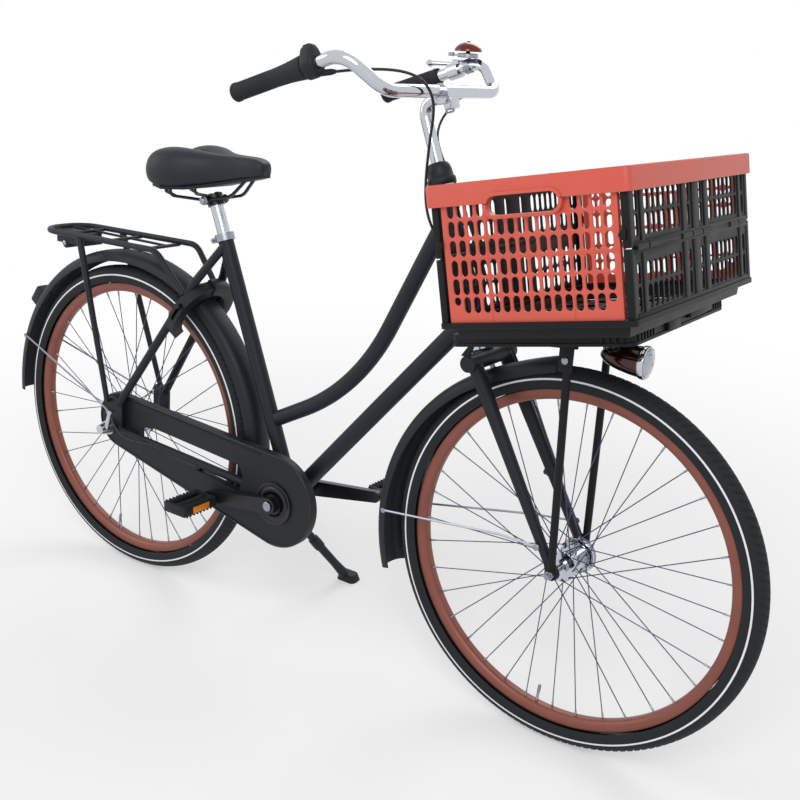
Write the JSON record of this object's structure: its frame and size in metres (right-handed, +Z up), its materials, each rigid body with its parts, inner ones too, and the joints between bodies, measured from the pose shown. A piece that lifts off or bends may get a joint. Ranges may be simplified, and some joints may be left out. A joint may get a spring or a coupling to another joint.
{
  "type": "transport bicycle on stand",
  "caption": "Step-through city bicycle standing on its side stand, with a folding crate on a front carrier, chain case, mudguards, rear carrier and ring lock.",
  "frame": {"origin": "on the ground, under the middle of the outer box", "axes": "+X forward, +Y to the rider's left, +Z up"},
  "size_m": [1.8568, 0.5558, 1.2244],
  "materials": {
    "frame_paint": "matte black enamel",
    "black_plastic": "matte",
    "coral_plastic": "satin",
    "chrome": "polished",
    "steel": "zinc plated",
    "copper": "metallic copper",
    "tyre": "matt rubber",
    "grip_rubber": "matt rubber",
    "saddle": "satin vinyl",
    "lens": "clear",
    "cable": "satin sleeve"
  },
  "bodies": {
    "frame": {"head_tube": "frame_paint", "top_tube": "frame_paint", "down_tube": "frame_paint", "seat_tube": "frame_paint", "bottom_bracket_shell": "frame_paint", "bearing_cups": "chrome", "rear_triangle": "frame_paint", "seat_clamp": "frame_paint", "rear_axle": "steel", "shift_box": "chrome", "rear_mudguard": "frame_paint", "rear_mudguard_stays": "steel", "rear_carrier": "frame_paint", "tail_light": "black_plastic", "ring_lock": "black_plastic", "chain_case": "black_plastic", "chain": "steel", "gear_cable": "cable"},
    "lock_bolt": {"lock_bolt": "black_plastic"},
    "stand": {"kickstand_leg": "frame_paint", "kickstand_foot": "black_plastic"},
    "seat": {"seat_post": "chrome", "saddle_rails": "frame_paint", "saddle_base": "black_plastic", "saddle_pad": "saddle"},
    "steering": {"fork": "frame_paint", "stem": "chrome", "handlebar": "chrome", "left_grip": "grip_rubber", "shifter_housing": "black_plastic", "brake_bracket": "chrome", "bell": "copper", "front_carrier": "black_plastic", "crate_base": "black_plastic", "crate_walls": "black_plastic", "crate_rim": "coral_plastic", "front_mudguard": "frame_paint", "front_mudguard_stays": "steel", "headlight": "copper", "headlight_lens": "lens", "front_axle": "steel", "front_brake_plate": "steel", "brake_cable": "cable"},
    "twist_grip": {"twist_grip": "grip_rubber"},
    "brake_lever": {"brake_lever": "chrome"},
    "bell_lever": {"bell_lever": "black_plastic"},
    "crate_right_panel": {"crate_right_panel": "coral_plastic"},
    "crate_left_panel": {"crate_left_panel": "coral_plastic"},
    "front_wheel": {"front_hub": "chrome", "front_spokes": "steel", "front_rim": "copper", "front_tyre": "tyre"},
    "rear_wheel": {"rear_hub": "chrome", "rear_spokes": "steel", "rear_rim": "copper", "rear_tyre": "tyre"},
    "cranks": {"crankset": "chrome"},
    "right_pedal": {"right_pedal": "black_plastic"},
    "left_pedal": {"left_pedal": "black_plastic"},
    "sprocket": {"sprocket": "steel"}
  },
  "joints": [
    {"name": "steering_turn", "type": "hinge", "parent": "frame", "child": "steering", "pos_m": [0.35629, -0.03757, 0.71159], "axis": [-0.3681, 0.1004, 0.9243], "range_deg": [-45, 45], "deforming": ["gear_cable"]},
    {"name": "front_wheel_spin", "type": "hinge", "parent": "steering", "child": "front_wheel", "pos_m": [0.57257, -0.07641, 0.35406], "axis": [0, 0.9942, -0.108], "continuous": true},
    {"name": "rear_wheel_spin", "type": "hinge", "parent": "frame", "child": "rear_wheel", "pos_m": [-0.53743, -0.07641, 0.35406], "axis": [0, 0.9942, -0.108], "continuous": true},
    {"name": "crank_turn", "type": "hinge", "parent": "frame", "child": "cranks", "pos_m": [-0.06601, -0.08257, 0.29739], "axis": [0, 0.9942, -0.108], "range_deg": [-150, 80], "deforming": ["chain"]},
    {"name": "sprocket_turn", "type": "hinge", "parent": "frame", "child": "sprocket", "pos_m": [-0.53743, -0.07641, 0.35406], "axis": [0, 0.9942, -0.108], "range_deg": [-285, 152]},
    {"name": "right_pedal_spin", "type": "hinge", "parent": "cranks", "child": "right_pedal", "pos_m": [-0.23392, -0.20474, 0.28391], "axis": [0, 0.9942, -0.108], "continuous": true},
    {"name": "left_pedal_spin", "type": "hinge", "parent": "cranks", "child": "left_pedal", "pos_m": [0.1019, 0.0396, 0.31087], "axis": [0, 0.9942, -0.108], "continuous": true},
    {"name": "stand_fold", "type": "hinge", "parent": "frame", "child": "stand", "pos_m": [-0.14943, -0.0449, 0.24602], "axis": [-0.2598, 0.9616, 0.0881], "range_deg": [0, 122.1]},
    {"name": "brake_lever_pull", "type": "hinge", "parent": "steering", "child": "brake_lever", "pos_m": [0.12328, 0.26242, 1.15083], "axis": [0, 0.108, 0.9942], "range_deg": [0, 20], "stiffness_Nm_per_rad": 0.4, "springref_deg": -5.73},
    {"name": "shifter_twist", "type": "hinge", "parent": "steering", "child": "twist_grip", "pos_m": [0.01733, -0.20908, 1.15349], "axis": [0.946, 0.0477, 0.3206], "range_deg": [0, 150]},
    {"name": "bell_lever_push", "type": "hinge", "parent": "steering", "child": "bell_lever", "pos_m": [0.15261, 0.20919, 1.17375], "axis": [0, 0.108, 0.9942], "range_deg": [0, 25], "stiffness_Nm_per_rad": 0.05, "springref_deg": -5.73},
    {"name": "crate_right_panel_fold", "type": "hinge", "parent": "steering", "child": "crate_right_panel", "pos_m": [0.5427, -0.24266, 1.05061], "axis": [0.9803, 0.0213, 0.1965], "range_deg": [0, 90]},
    {"name": "crate_left_panel_fold", "type": "hinge", "parent": "steering", "child": "crate_left_panel", "pos_m": [0.5427, 0.23553, 0.99866], "axis": [-0.9803, -0.0213, -0.1965], "range_deg": [0, 90]},
    {"name": "seat_height", "type": "slide", "parent": "frame", "child": "seat", "axis": [-0.3665, 0.1005, 0.925], "range_m": [-0.05, 0.08]},
    {"name": "lock_bolt_slide", "type": "hinge", "parent": "frame", "child": "lock_bolt", "pos_m": [-0.34572, -0.04453, 0.64754], "axis": [0.8387, -0.0588, -0.5415], "range_deg": [0, 22]}
  ],
  "couplings": [
    {"joint": "sprocket_turn", "follows": "crank_turn", "ratio": 1.9}
  ]
}
